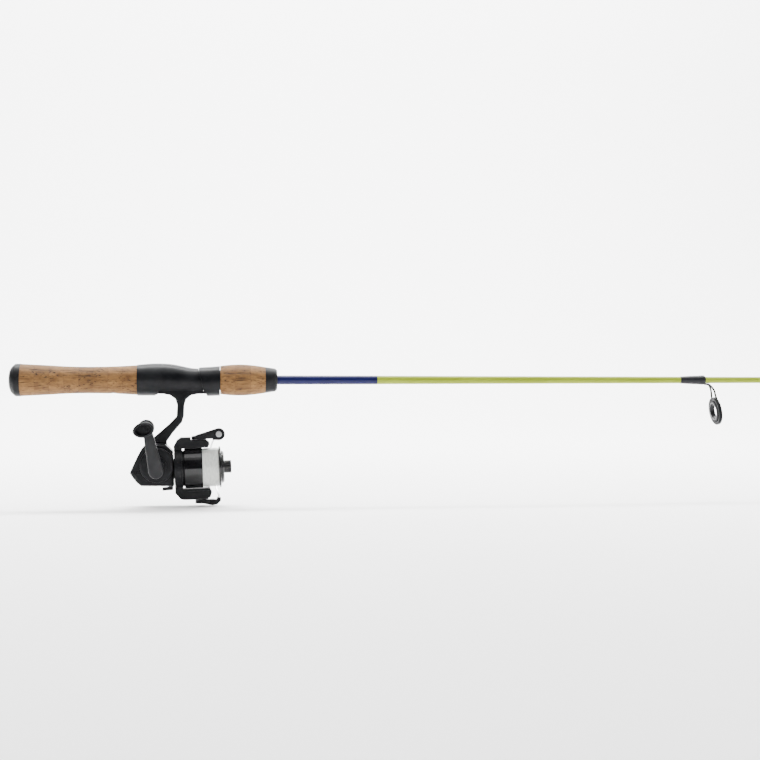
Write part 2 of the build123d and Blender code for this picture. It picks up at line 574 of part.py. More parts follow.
# ---------------------------------------------------------------- reel: rotor and bail
def make_rotor():
    """The rotor: a deep disc with two arms reaching forward either side of the spool."""
    disc = rod_x(ROTOR_DISC_RADIUS, ROTOR_REAR, ROTOR_FRONT)
    disc = fillet(disc.edges().filter_by(GeomType.CIRCLE).sort_by(Axis.X)[0], 2.0)
    recess = rod_x(NECK_RADIUS + 0.6, ROTOR_REAR - 1, 18.2)
    hub = rod_x(4.2, 16.05, 19)
    lip = tube_x(15.2, 12.6, ROTOR_FRONT - 1, 26.4)
    wide = ROTOR_ARM_HALF_WIDTH
    upper = outline([(ROTOR_REAR, 0), (ROTOR_REAR, 19.6), (17.0, 24.3), (20.6, 26.7), (28.7, 26.6),
                     (28.9, UPPER_ARM_TOP), (41.5, UPPER_ARM_TOP), (44.4, 21.8), (44.6, 19.6), (43.0, 16.9),
                     (ROTOR_FRONT, 16.9), (ROTOR_FRONT, 0)])
    lower = outline([(ROTOR_REAR, 0), (ROTOR_REAR, -20.4), (18.6, -25.6), (22.0, -26.7),
                     (30.0, -LOWER_ARM_TOP), (41.0, -LOWER_ARM_TOP), (44.2, -24.6), (45.4, -20.8),
                     (43.4, -16.9), (ROTOR_FRONT, -16.9), (ROTOR_FRONT, 0)])
    crown = rod_x(27.15, 10, 50)
    arms = (prism_y(upper, -wide, wide) + prism_y(lower, -wide, wide)) & crown
    arms = arms - rod_x(ROTOR_ARM_INNER, ROTOR_FRONT, 60)
    pivot_top = rod_z(1.7, 18.0, 30.0, BAIL_PIVOT)
    pivot_low = rod_z(1.7, -30.0, -18.0, BAIL_PIVOT)
    rotor = disc + lip + arms - recess + hub - pivot_top - pivot_low - rod_x(2.6, 5, 30)
    in_reel("rotor", rotor)
    panel = outline([(23.6, -19.4), (43.2, -19.2), (44.4, -21.2), (42.6, -24.2), (25.2, -24.6)], 0.9)
    near, far = prism_y(panel, -wide - 0.5, -wide), prism_y(panel, wide, wide + 0.5)
    in_reel("rotor_arm_covers", Compound([near, far]))
    hexagon = Location((ROTOR_FRONT, 0, 0), (0, 90, 0)) * RegularPolygon(4.4, 6)
    nut = extrude(hexagon, amount=PINION_FRONT - ROTOR_FRONT)
    in_reel("rotor_nut", nut - rod_x(2.6, 10, 30))


def make_bail():
    """The bail: roller arm, wire and lower lever, turning together on two screws across the spool."""
    course = [(ROLLER_X, 5.2, ROLLER_Z), (50.0, 12.6, 25.0), (46.4, 19.6, 18.5), (44.8, 25.4, 10.5),
              (44.7, 28.4, 0.5), (46.3, 25.8, -9.5), (48.9, 17.6, -17.5), (50.9, 8.0, -24.0),
              (51.2, 2.2, -27.2)]
    bent_wire = wire_along(course, 0.8, tangents=[(-0.15, 1, -0.1), (0.02, -1, -0.5)])
    cup = rod_y(3.4, 3.7, 5.6, ROLLER_X, ROLLER_Z)
    cup = fillet(cup.edges().filter_by(GeomType.CIRCLE).sort_by(Axis.Y)[-1], 0.8)
    in_reel("bail_wire", bent_wire + cup - rod_y(1.2, -10, 5.0, ROLLER_X, ROLLER_Z))

    eye = rod_z(8.1, UPPER_ARM_TOP + 0.3, UPPER_ARM_TOP + 3.2, BAIL_PIVOT)
    eye = fillet(eye.edges().filter_by(GeomType.CIRCLE).sort_by(Axis.Z)[-1], 1.4)
    plate = prism_y(hull((ROLLER_X, ROLLER_Z, 5.2), (34.3, 26.5, 1.9)), -6.6, -3.6)
    plate = plate - block(20, 47.4, -10, 0, 20, UPPER_ARM_TOP + 0.3)
    arm = eye + plate - rod_z(1.3, 20, 40, BAIL_PIVOT) - rod_z(2.9, UPPER_ARM_TOP + 2.0, 40, BAIL_PIVOT)
    arm = arm - rod_y(1.2, -20, 5, ROLLER_X, ROLLER_Z) - rod_y(2.9, -20, -5.8, ROLLER_X, ROLLER_Z)
    in_reel("bail_arm", arm)

    low = -LOWER_ARM_TOP - 0.3
    eye = rod_z(6.6, low - 2.9, low, BAIL_PIVOT)
    lever_side = outline([(33.0, low), (33.0, low - 2.4), (37.5, low - 3.2), (45.7, -32.4), (49.6, -31.7),
                          (52.6, -28.8), (52.9, -26.2), (49.8, -25.6), (48.9, -27.8), (46.5, low)], 0.5)
    lever = prism_y(lever_side, -3.4, 3.4)
    lever = eye + lever - rod_z(1.3, -40, -20, BAIL_PIVOT) - rod_z(2.9, -40, low - 2.0, BAIL_PIVOT)
    in_reel("bail_lever_lower", lever - bent_wire)

    top = Location((BAIL_PIVOT, 0, UPPER_ARM_TOP + 2.0)) * slotted_screw(2.5, 1.4, 1.25, 2.0)
    bottom = Location((BAIL_PIVOT, 0, low - 2.0), (180, 0, 0)) * slotted_screw(2.5, 1.4, 1.25, 2.0)
    shank_top = rod_z(1.65, 19.5, UPPER_ARM_TOP + 0.1, BAIL_PIVOT)
    shank_top = shank_top + rod_z(1.25, 20, UPPER_ARM_TOP + 2.2, BAIL_PIVOT)
    shank_low = rod_z(1.65, -LOWER_ARM_TOP - 0.1, -19.5, BAIL_PIVOT)
    shank_low = shank_low + rod_z(1.25, low - 2.2, -20, BAIL_PIVOT)
    in_reel("bail_pivot_screws", Compound([(top + shank_top).solids()[0], (bottom + shank_low).solids()[0]]))

    screw = Location((ROLLER_X, -5.8, ROLLER_Z), (90, 0, 0)) * slotted_screw(2.6, 1.2, 1.2, 8.0, slot=0.7)
    in_reel("roller_screw", screw + rod_y(1.2, 0, 5.0, ROLLER_X, ROLLER_Z))
    groove = [(-3.3, 1.2 + RUN), (-3.3, 3.0), (-1.6, 2.5), (1.6, 2.5), (3.3, 3.0), (3.3, 1.2 + RUN)]
    roller = Rot(Z=90) * lathe(groove)
    in_reel("line_roller", Location((ROLLER_X, 0, ROLLER_Z)) * roller)


# ---------------------------------------------------------------- reel: spool and shaft
def make_spool():
    """The skirted spool, its winding of line, the drag stack and the main shaft it rides on."""
    skirt_in = SKIRT_RADIUS - 1.2
    profile = [
        (26.4, SHAFT_RADIUS + RUN),
        (26.4, 5.0),
        (36.6, 5.0),
        (36.6, skirt_in),
        (SKIRT_REAR, skirt_in),
        (SKIRT_REAR, SKIRT_RADIUS - 0.5),
        (SKIRT_REAR + 0.5, SKIRT_RADIUS),
        (SKIRT_FRONT - 0.6, SKIRT_RADIUS),
        (SKIRT_FRONT, SKIRT_RADIUS - 0.5),
        (SKIRT_FRONT, ARBOR_RADIUS),
        (LIP_REAR, ARBOR_RADIUS),
        (LIP_REAR, LIP_RADIUS - 0.9),
        (LIP_REAR + 0.4, LIP_RADIUS),
        (LIP_FRONT - 0.3, LIP_RADIUS),
        (LIP_FRONT, LIP_RADIUS - 0.4),
        (LIP_FRONT + 0.7, SPOOL_FACE_RADIUS + 0.5),
        (55.6, SPOOL_FACE_RADIUS),
        (SPOOL_FACE, SPOOL_FACE_RADIUS - 1.0),
        (SPOOL_FACE, DRAG_RECESS_RADIUS + 1.0),
        (55.8, DRAG_RECESS_RADIUS),
        (DRAG_RECESS_FLOOR, DRAG_RECESS_RADIUS),
        (DRAG_RECESS_FLOOR, SHAFT_RADIUS + RUN),
    ]
    in_reel("spool", lathe(profile))
    line = [(SKIRT_FRONT, ARBOR_RADIUS), (SKIRT_FRONT, 16.2), (SKIRT_FRONT + 2.0, LINE_RADIUS),
            (LIP_REAR - 2.0, LINE_RADIUS), (LIP_REAR, 16.0), (LIP_REAR, ARBOR_RADIUS)]
    in_reel("line_winding", lathe(line))
    stack = [DRAG_RECESS_FLOOR + DRAG_WASHER * i for i in range(5)]
    washers = [tube_x(7.7, 1.8, start, start + DRAG_WASHER) for start in stack]
    in_reel("drag_washers", Compound([washer.solids()[0] for washer in washers]))
    in_reel("drag_spring", coil(0.4, 3.6, 1.15, 2.2, (50.95, 0, 0), (1, 0, 0)))
    collar = tube_x(3.0, SHAFT_RADIUS, 24.8, 26.1)
    in_reel("spool_thrust_collar", collar)

    shaft = rod_x(SHAFT_RADIUS, SHAFT_REAR, SHAFT_FRONT)
    in_reel("main_shaft", chamfer(shaft.edges().filter_by(GeomType.CIRCLE), 0.3))

    base = fillet(rod_x(7.4, 54.0, 55.8).edges().filter_by(GeomType.CIRCLE).sort_by(Axis.X)[-1], 0.5)
    grip = rod_x(DRAG_KNOB_RADIUS, 55.4, DRAG_KNOB_FRONT)
    grip = fillet(grip.edges().filter_by(GeomType.CIRCLE).sort_by(Axis.X)[-1], 0.9)
    groove = rod_x(0.55, 57.0, DRAG_KNOB_FRONT + 1, 0, DRAG_KNOB_RADIUS + 0.15)
    knob = base + grip - [Rot(X=18 * i) * groove for i in range(20)]
    in_reel("drag_knob", knob - rod_x(SHAFT_RADIUS + RUN, 50, SHAFT_FRONT + 0.5))

    x_mid, z_mid = OSC_X, OSC_Z
    frame = block(x_mid - 5.2, x_mid + 4.8, 1.9, 4.5, z_mid - 3.7, z_mid + 3.6)
    window = block(x_mid - 4.2, x_mid + 3.7, 1, 5, z_mid - 2.7, z_mid + 2.7)
    clamp = block(SHAFT_REAR, x_mid - 4.2, -1.7, 4.5, -2.6, 2.2)
    slider = frame - window + clamp - rod_x(SHAFT_RADIUS, -30, 20) - rod_y(0.75, 1, 5, -14.6, 0)
    slider = slider - rod_y(1.4, 3.7, 5, -14.6, 0)
    in_reel("slider_block", slider)
    in_reel("slider_screw", rod_y(0.75, 1.3, 4.0, -14.6, 0) + rod_y(1.4, 3.7, 4.5, -14.6, 0))


# ---------------------------------------------------------------- reel: crank
def make_crank():
    """The crank arm on its collar, and the knob on its pin."""
    tip = (KNOB_BASE[0] + 0.1, KNOB_BASE[2] + 0.1)
    arm = prism_y(hull((0.3, 1.1, 6.05), (tip[0], tip[1], 3.5)), CRANK_ARM_NEAR, CRANK_ARM_FAR)
    arm = fillet(arm.faces().sort_by(Axis.Y)[0].edges(), 1.0)
    collar = rod_y(4.0, CRANK_ARM_FAR, BOSS_FACE - 3.3, 0, CRANK_HEIGHT)
    flare = Location((0, -20.3, CRANK_HEIGHT), (90, 0, 0)) * Cone(5.4, 4.0, 4.0)
    collar = collar + flare - rod_y(AXLE_RADIUS, -40, 0, 0, CRANK_HEIGHT)
    in_reel("crank_collar", collar)
    knob_frame = Plane(origin=KNOB_BASE, x_dir=(1, 0, 0), z_dir=KNOB_DIRECTION).location
    pin = rod_z(1.5, -3.6, KNOB_LENGTH - 5.0) + rod_z(2.1, KNOB_LENGTH - 5.2, KNOB_LENGTH - 4.0)
    shoulder = knob_frame * rod_z(2.6, -1.2, 0.0)
    in_reel("knob_pin", knob_frame * pin + (shoulder - block(-20, 20, CRANK_ARM_NEAR, 0, 20, 60)))
    in_reel("crank_arm", arm - knob_frame * rod_z(1.5, -8, 2))
    skin = ((0.4, 6.6, 6.4), (1.9, 6.7, 6.4), (3.4, 5.0, 4.8), (9.0, 5.8, 4.7), (15.0, 7.6, 5.6),
            (KNOB_LENGTH - 0.6, 8.7, 6.1), (KNOB_LENGTH, 8.4, 5.8))
    dish = ((KNOB_LENGTH - 5.5, 5.6, 3.9), (KNOB_LENGTH + 0.2, 7.1, 4.7))
    rings = [Location((0, 0, z), (0, 0, KNOB_TWIST)) * Ellipse(a, b) for z, a, b in skin + dish]
    flange = loft(rings[:2])
    grip = loft(rings[1:len(skin)])
    mouth = loft(rings[len(skin):])
    knob = flange + grip - mouth - rod_z(1.5 + RUN, -1, KNOB_LENGTH)
    in_reel("knob", knob_frame * knob)


make_blank()
make_rear_grip()
make_reel_seat()
make_hood()
make_fore_grip()
make_guides()
make_tip_top()
make_reel_body()
make_side_cover()
make_bearing()
make_gears()
make_anti_reverse()
make_rotor()
make_bail()
make_spool()
make_crank()

os.makedirs("parts", exist_ok=True)
for name, shape in parts.items():
    export_step(shape, f"parts/{name}.step")
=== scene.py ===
"""Looks for the spinning rod and reel: materials, wound line, soft studio light and the camera."""

import math

import bpy
from mathutils import Matrix, Vector


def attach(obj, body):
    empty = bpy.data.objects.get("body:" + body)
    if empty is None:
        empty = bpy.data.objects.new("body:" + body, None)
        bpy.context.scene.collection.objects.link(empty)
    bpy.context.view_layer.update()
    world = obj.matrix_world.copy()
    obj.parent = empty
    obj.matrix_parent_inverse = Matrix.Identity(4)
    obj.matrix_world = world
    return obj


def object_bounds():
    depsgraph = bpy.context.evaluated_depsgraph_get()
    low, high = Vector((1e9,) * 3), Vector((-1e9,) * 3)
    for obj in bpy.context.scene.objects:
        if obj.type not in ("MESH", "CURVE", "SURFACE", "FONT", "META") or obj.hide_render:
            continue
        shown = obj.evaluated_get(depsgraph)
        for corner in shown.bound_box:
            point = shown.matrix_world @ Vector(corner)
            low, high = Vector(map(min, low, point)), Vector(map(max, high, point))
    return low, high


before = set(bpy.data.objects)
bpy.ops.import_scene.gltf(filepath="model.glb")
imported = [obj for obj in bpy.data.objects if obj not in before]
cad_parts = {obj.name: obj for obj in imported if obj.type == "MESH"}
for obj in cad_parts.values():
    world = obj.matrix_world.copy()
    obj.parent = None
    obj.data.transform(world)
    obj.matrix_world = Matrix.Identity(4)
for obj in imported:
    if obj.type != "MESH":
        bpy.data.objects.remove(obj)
CAD_BOX = [list(map(float, corner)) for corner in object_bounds()]

# ---------------------------------------------------------------- facts repeated from the part, in metres
MM = 0.001
REEL_ORIGIN = Vector((113.3, 0.0, -76.3)) * MM
REEL_TILT = math.radians(2.0)
REEL_MATRIX = Matrix.Translation(REEL_ORIGIN) @ Matrix.Rotation(-REEL_TILT, 4, "Y")
REAR_RING_WIDTH = 96.5 * MM / 8
FORE_GRIP_START = 166.4 * MM
FORE_RING_WIDTH = (204.9 * MM - FORE_GRIP_START) / 3
GREEN_TIP_START, GREEN_TIP_END = 600 * MM, 1130 * MM

# the top layer of line, in the reel's own frame: X is the spool axis
LINE_START, LINE_END = 38.6 * MM, 51.6 * MM
LINE_LAYER_RADIUS = 16.42 * MM
LINE_RADIUS = 0.17 * MM
LINE_PITCH = 0.37 * MM
LINE_EDGE_WIDTH, LINE_EDGE_DROP = 1.7 * MM, 0.3 * MM
LINE_STEPS_PER_TURN = 56
LINE_SIDES = 6

# ---------------------------------------------------------------- colours, linear
CORK_DARK, CORK_MIDDLE, CORK_PALE = (0.085, 0.038, 0.011), (0.150, 0.074, 0.024), (0.215, 0.113, 0.040)
CORK_PORE, CORK_GLUE = (0.010, 0.005, 0.003), (0.06, 0.027, 0.010)
LIME_DEEP, LIME_BRIGHT, LIME_TIP = (0.17, 0.215, 0.010), (0.205, 0.255, 0.016), (0.28, 0.34, 0.035)
BLUE_DEEP, BLUE_FLAKE = (0.0025, 0.003, 0.036), (0.005, 0.006, 0.066)
THREAD_DARK, THREAD_LIGHT = (0.003, 0.0032, 0.004), (0.013, 0.0135, 0.016)
LINE_GREY, LINE_WHITE = (0.56, 0.58, 0.55), (0.74, 0.75, 0.71)
FELT_DARK, FELT_LIGHT = (0.25, 0.22, 0.18), (0.45, 0.41, 0.35)
MID_GREY = (0.5, 0.5, 0.5)
PAPER_LOW, PAPER_HIGH = (0.92, 0.92, 0.92), (0.94, 0.94, 0.94)

# ---------------------------------------------------------------- studio and camera, in metres
FLOOR_GAP = 0.0008
FLOOR_LEFT, FLOOR_RIGHT, FLOOR_FRONT = -4.5, 5.5, -3.0
BEND_START, BEND_RADIUS, WALL_TOP = 1.1, 0.9, 3.4
BEND_STEPS = 16
WORLD_STRENGTH = 0.07
CAMERA_PLACE = (0.15765, -1.1147, 0.0)
CAMERA_TURN = math.radians(-7.513)
CAMERA_LENS, CAMERA_SENSOR = 61.06, 36.0


# ---------------------------------------------------------------- material helpers
class Look:
    """A Principled material with small helpers for the nodes that feed it."""

    def __init__(self, name, color=MID_GREY, roughness=0.5, metallic=0.0, coat=0.0, coat_roughness=0.1):
        self.material = bpy.data.materials.new(name)
        self.material.use_nodes = True
        self.tree = self.material.node_tree
        self.shader = self.tree.nodes["Principled BSDF"]
        self.set("Base Color", (*color, 1.0))
        self.set("Roughness", roughness)
        self.set("Metallic", metallic)
        self.set("Coat Weight", coat)
        self.set("Coat Roughness", coat_roughness)

    def set(self, socket, value):
        """Sets a shader input to a plain value."""
        self.shader.inputs[socket].default_value = value

    def node(self, kind, **values):
        """Adds a node; keyword names are its properties, or its inputs where no such property exists."""
        new = self.tree.nodes.new(kind)
        for key, value in values.items():
            if hasattr(new, key):
                setattr(new, key, value)
            else:
                new.inputs[key.replace("_", " ")].default_value = value
        return new

    def link(self, output, target):
        """Joins an output to an input."""
        self.tree.links.new(output, target)

    def coords(self, stretch=(1, 1, 1), rotate=(0, 0, 0), move=(0, 0, 0)):
        """Object coordinates in metres, stretched along each axis."""
        source = self.node("ShaderNodeTexCoord")
        mapping = self.node("ShaderNodeMapping")
        mapping.inputs["Scale"].default_value = stretch
        mapping.inputs["Rotation"].default_value = rotate
        mapping.inputs["Location"].default_value = move
        self.link(source.outputs["Object"], mapping.inputs["Vector"])
        return mapping.outputs["Vector"]

    def noise(self, vector, scale, detail=4.0, rough=0.55):
        """A noise value, 0 to 1."""
        node = self.node("ShaderNodeTexNoise", Scale=scale, Detail=detail, Roughness=rough)
        self.link(vector, node.inputs["Vector"])
        return node.outputs["Fac"]

    def ramp(self, value, *stops):
        """A colour ramp from (position, colour) stops."""
        node = self.node("ShaderNodeValToRGB")
        elements = node.color_ramp.elements
        while len(elements) < len(stops):
            elements.new(0.5)
        for element, (position, color) in zip(elements, stops):
            element.position = position
            element.color = (*color, 1.0) if len(color) == 3 else color
        self.link(value, node.inputs["Fac"])
        return node.outputs["Color"]

    def level(self, value, low, high, out_low=0.0, out_high=1.0):
        """Maps a value range onto another and clamps it."""
        node = self.node("ShaderNodeMapRange")
        node.inputs["From Min"].default_value = low
        node.inputs["From Max"].default_value = high
        node.inputs["To Min"].default_value = out_low
        node.inputs["To Max"].default_value = out_high
        self.link(value, node.inputs["Value"])
        return node.outputs["Result"]

    def math(self, operation, a, b=None):
        """One arithmetic step; a and b are sockets or numbers."""
        node = self.node("ShaderNodeMath", operation=operation)
        for slot, value in enumerate((a, b)):
            if value is None:
                continue
            if isinstance(value, (int, float)):
                node.inputs[slot].default_value = value
            else:
                self.link(value, node.inputs[slot])
        return node.outputs[0]

    def mix(self, factor, a, b, mode="MIX"):
        """Mixes two colours; each is a socket or a tuple."""
        node = self.node("ShaderNodeMix", data_type="RGBA", blend_type=mode)
        sockets = (node.inputs["Factor"], node.inputs[6], node.inputs[7])
        for socket, value in zip(sockets, (factor, a, b)):
            if isinstance(value, (int, float)):
                socket.default_value = value
            elif isinstance(value, tuple):
                socket.default_value = (*value, 1.0) if len(value) == 3 else value
            else:
                self.link(value, socket)
        return node.outputs[2]

    def axis_value(self, vector, axis):
        """One coordinate of a vector."""
        node = self.node("ShaderNodeSeparateXYZ")
        self.link(vector, node.inputs["Vector"])
        return node.outputs[axis]

    def color(self, value):
        """Feeds the base colour."""
        self.link(value, self.shader.inputs["Base Color"])

    def rough(self, value):
        """Feeds the roughness."""
        self.link(value, self.shader.inputs["Roughness"])

    def bump(self, height, strength, distance):
        """Feeds the normal from a height value."""
        node = self.node("ShaderNodeBump")
        node.inputs["Strength"].default_value = strength
        node.inputs["Distance"].default_value = distance
        self.link(height, node.inputs["Height"])
        self.link(node.outputs["Normal"], self.shader.inputs["Normal"])


def cork_look(name, ring_start, ring_width):
    """Cork rings: each ring its own tone, long dark pores, pale grain and thin glue lines."""
    look = Look(name, roughness=0.72)
    plain = look.coords()
    along = look.axis_value(plain, "X")
    ring_place = look.math("DIVIDE", look.math("SUBTRACT", along, ring_start), ring_width)
    ring_number = look.math("FLOOR", ring_place)
    ring_random = look.node("ShaderNodeTexWhiteNoise", noise_dimensions="1D")
    look.link(ring_number, ring_random.inputs["W"])
    shifted = look.node("ShaderNodeVectorMath", operation="ADD")
    look.link(plain, shifted.inputs[0])
    look.link(ring_random.outputs["Color"], shifted.inputs[1])
    stretched = look.node("ShaderNodeMapping")
    stretched.inputs["Scale"].default_value = (0.38, 1.0, 1.0)
    look.link(shifted.outputs[0], stretched.inputs["Vector"])
    vector = stretched.outputs["Vector"]

    grain = look.noise(vector, 300, 6.0, 0.66)
    base = look.ramp(grain, (0.30, CORK_DARK), (0.5, CORK_MIDDLE), (0.72, CORK_PALE))
    tone = look.level(ring_random.outputs["Value"], 0.0, 1.0, 0.86, 1.10)
    toned = look.node("ShaderNodeVectorMath", operation="SCALE")
    look.link(base, toned.inputs[0])
    look.link(tone, toned.inputs["Scale"])
    cloud = look.noise(vector, 70, 3.0)
    pore_field = look.noise(vector, 900, 3.0, 0.5)
    pores = look.level(look.math("ADD", pore_field, look.math("MULTIPLY", cloud, 0.35)), 0.79, 0.86)
    streak_map = look.coords(stretch=(0.075, 1.0, 1.0), move=(0.013, 0.021, 0.007))
    streaks = look.level(look.noise(streak_map, 820, 3.0, 0.55), 0.585, 0.64)
    marks = look.math("MAXIMUM", pores, look.math("MULTIPLY", streaks, 0.9))
    marked = look.mix(look.math("MULTIPLY", marks, 0.85), toned.outputs[0], CORK_PORE)

    edge = look.math("ABSOLUTE", look.math("SUBTRACT", look.math("FRACT", ring_place), 0.5))
    wobble = look.math("MULTIPLY", look.noise(plain, 900, 2.0), 0.02)
    glue = look.level(look.math("ADD", edge, wobble), 0.495, 0.508)
    final = look.mix(look.math("MULTIPLY", glue, 0.5), marked, CORK_GLUE)
    look.color(final)
    look.rough(look.level(grain, 0.3, 0.7, 0.62, 0.82))
    hollows = look.math("ADD", marks, look.math("MULTIPLY", glue, 0.6))
    relief = look.math("SUBTRACT", look.math("MULTIPLY", grain, 0.35), hollows)
    look.bump(relief, 0.55, 0.00025)
    look.set("Specular IOR Level", 0.2)
    return look.material


def moulded_look(name, color, roughness, texture=0.15, coat=0.0, scale=1500.0, specular=0.10):
    """Moulded or sprayed black plastic: fine grain, faint roughness clouds."""
    look = Look(name, color=color, roughness=roughness, coat=coat, coat_roughness=0.12)
    plain = look.coords()
    fine = look.noise(plain, scale, 3.0, 0.6)
    cloud = look.noise(plain, 60, 3.0)
    tint = tuple(min(1.0, c * 1.35 + 0.004) for c in color)
    look.color(look.mix(look.level(cloud, 0.35, 0.7), color, tint))
    look.rough(look.level(cloud, 0.3, 0.7, roughness - 0.05, roughness + 0.06))
    look.bump(fine, texture, 0.00006)
    look.set("Specular IOR Level", specular)
    return look.material


def metal_look(name, color, roughness, brushed_axis=None):
    """Bare metal with fine scratches, along one axis where it was turned or brushed."""
    look = Look(name, color=color, roughness=roughness, metallic=1.0)
    stretch = {"X": (0.06, 1, 1), "Y": (1, 0.06, 1), "Z": (1, 1, 0.06), None: (1, 1, 1)}[brushed_axis]
    vector = look.coords(stretch=stretch)
    scratch = look.noise(vector, 2400, 4.0, 0.6)
    dark = tuple(c * 0.86 for c in color)
    look.color(look.mix(scratch, dark, color))
    look.rough(look.level(scratch, 0.3, 0.7, roughness * 0.8, roughness * 1.25))
    look.bump(scratch, 0.12, 0.00004)
    return look.material


def blank_look():
    """Lime green lacquer over the fibre wrap, a little paler toward the tip."""
    look = Look("blank_lacquer", roughness=0.36, coat=0.04, coat_roughness=0.1)
    plain = look.coords()
    along = look.axis_value(plain, "X")
    cloud = look.noise(look.coords(stretch=(0.12, 1, 1)), 180, 3.0)
    green = look.mix(look.level(cloud, 0.35, 0.65), LIME_DEEP, LIME_BRIGHT)
    fibre = look.node("ShaderNodeTexWave", wave_type="BANDS", bands_direction="X")
    fibre.inputs["Scale"].default_value = 420
    fibre.inputs["Distortion"].default_value = 1.2
    look.link(plain, fibre.inputs["Vector"])
    tip_fade = look.level(along, GREEN_TIP_START, GREEN_TIP_END, 0.0, 0.16)
    look.color(look.mix(tip_fade, green, LIME_TIP))
    look.bump(fibre.outputs["Fac"], 0.05, 0.00004)
    look.set("Specular IOR Level", 0.14)
    return look.material


def sleeve_look():
    """Dark blue pearl lacquer."""
    look = Look("sleeve_lacquer", roughness=0.34, coat=0.05, coat_roughness=0.1)
    flakes = look.noise(look.coords(), 5200, 2.0, 0.7)
    look.color(look.mix(look.level(flakes, 0.45, 0.7), BLUE_DEEP, BLUE_FLAKE))
    look.set("Specular IOR Level", 0.15)
    look.bump(look.noise(look.coords(stretch=(0.2, 1, 1)), 90, 2.0), 0.04, 0.0001)
    return look.material


def thread_look():
    """Fine black thread laid side by side under thick clear varnish."""
    look = Look("guide_thread", roughness=0.45, coat=0.06, coat_roughness=0.08)
    wave = look.node("ShaderNodeTexWave", wave_type="BANDS", bands_direction="X", wave_profile="SIN")
    wave.inputs["Scale"].default_value = 900
    wave.inputs["Distortion"].default_value = 0.4
    look.link(look.coords(), wave.inputs["Vector"])
    look.color(look.mix(wave.outputs["Fac"], THREAD_DARK, THREAD_LIGHT))
    look.bump(wave.outputs["Fac"], 0.25, 0.00008)
    look.set("Specular IOR Level", 0.14)
    return look.material


def line_look():
    """Milky monofilament: pale, slightly translucent, with a wet sheen."""
    look = Look("line_mono", roughness=0.22, coat=0.3, coat_roughness=0.15)
    cloud = look.noise(look.coords(stretch=(3.0, 1, 1)), 320, 3.0)
    look.color(look.mix(look.level(cloud, 0.35, 0.7), LINE_GREY, LINE_WHITE))
    look.set("Subsurface Weight", 0.25)
    look.set("Subsurface Radius", (0.002, 0.002, 0.002))
    look.set("Subsurface Scale", 1.0)
    look.set("Transmission Weight", 0.08)
    return look.material


def felt_look():
    """Woven drag discs, brown grey."""
    look = Look("drag_felt", roughness=0.9)
    fibre = look.noise(look.coords(stretch=(1, 0.3, 1)), 1800, 5.0, 0.7)
    look.color(look.mix(fibre, FELT_DARK, FELT_LIGHT))
    look.bump(fibre, 0.5, 0.0002)
    return look.material


LOOKS = {
    "cork_rear": cork_look("cork_rear", 0.0, REAR_RING_WIDTH),
    "cork_fore": cork_look("cork_fore", FORE_GRIP_START, FORE_RING_WIDTH),
    "rubber": moulded_look("rubber_satin", (0.004, 0.004, 0.0045), 0.42, texture=0.35, scale=900),
    "seat": moulded_look("seat_graphite", (0.0032, 0.0034, 0.0042), 0.34, texture=0.12),
    "blank": blank_look(),
    "sleeve": sleeve_look(),
    "thread": thread_look(),
    "guide_black": moulded_look("guide_black_plate", (0.005, 0.0052, 0.006), 0.42, texture=0.05,
                                specular=0.06),
    "shock": moulded_look("shock_ring", (0.004, 0.004, 0.005), 0.5, specular=0.05),
    "ceramic": moulded_look("guide_ceramic", (0.007, 0.007, 0.008), 0.25, texture=0.03, specular=0.14),
    "reel": moulded_look("reel_satin_black", (0.004, 0.0042, 0.0050), 0.34, texture=0.22),
    "crank": moulded_look("crank_satin_black", (0.007, 0.0072, 0.0082), 0.38, texture=0.22, specular=0.2),
    "spool": moulded_look("spool_gloss_black", (0.0025, 0.0025, 0.003), 0.13, texture=0.03, specular=0.3),
    "knob": moulded_look("knob_soft_black", (0.006, 0.0062, 0.007), 0.46, texture=0.3, scale=1100),
    "line": line_look(),
    "steel": metal_look("screw_steel", (0.36, 0.36, 0.37), 0.32),
    "steel_x": metal_look("turned_steel", (0.58, 0.58, 0.59), 0.22, brushed_axis="X"),
    "wire": metal_look("bail_wire_steel", (0.66, 0.66, 0.67), 0.14),
    "brass": metal_look("cut_brass", (0.72, 0.53, 0.22), 0.25),
    "zinc": metal_look("cast_zinc", (0.50, 0.51, 0.53), 0.36),
    "felt": felt_look(),
}

NODE_LOOKS = {
    "cork_rear": ["rear_grip_cork"],
    "cork_fore": ["fore_grip_cork"],
    "rubber": ["butt_cap", "front_cap"],
    "seat": ["reel_seat", "seat_hood", "fore_grip_nut"],
    "blank": ["blank"],
    "sleeve": ["butt_sleeve"],
    "thread": ["guide_wraps"],
    "guide_black": ["stripper_frame", "running_guide_frames", "tip_top_frame", "knob_pin"],
    "shock": ["stripper_shock_ring"],
    "ceramic": ["stripper_ring", "running_guide_rings", "tip_top_ring"],
    "reel": ["reel_body", "side_cover", "axle_cap", "anti_reverse_lever", "rotor", "rotor_arm_covers",
             "bail_arm", "bail_lever_lower"],
    "crank": ["crank_arm", "crank_collar"],
    "spool": ["spool", "drag_knob"],
    "knob": ["knob"],
    "line": ["line_winding"],
    "steel": ["side_cover_screws", "bearing_outer_race", "bearing_inner_race", "bearing_balls",
              "crank_axle", "oscillation_post", "bail_pivot_screws", "roller_screw", "line_roller",
              "drag_spring", "slider_screw"],
    "steel_x": ["main_shaft"],
    "wire": ["bail_wire"],
    "brass": ["axle_bushes", "pinion_gear", "rotor_nut", "spool_thrust_collar"],
    "zinc": ["drive_gear", "oscillation_pinion", "oscillation_gear", "slider_block"],
    "felt": ["drag_washers"],
}


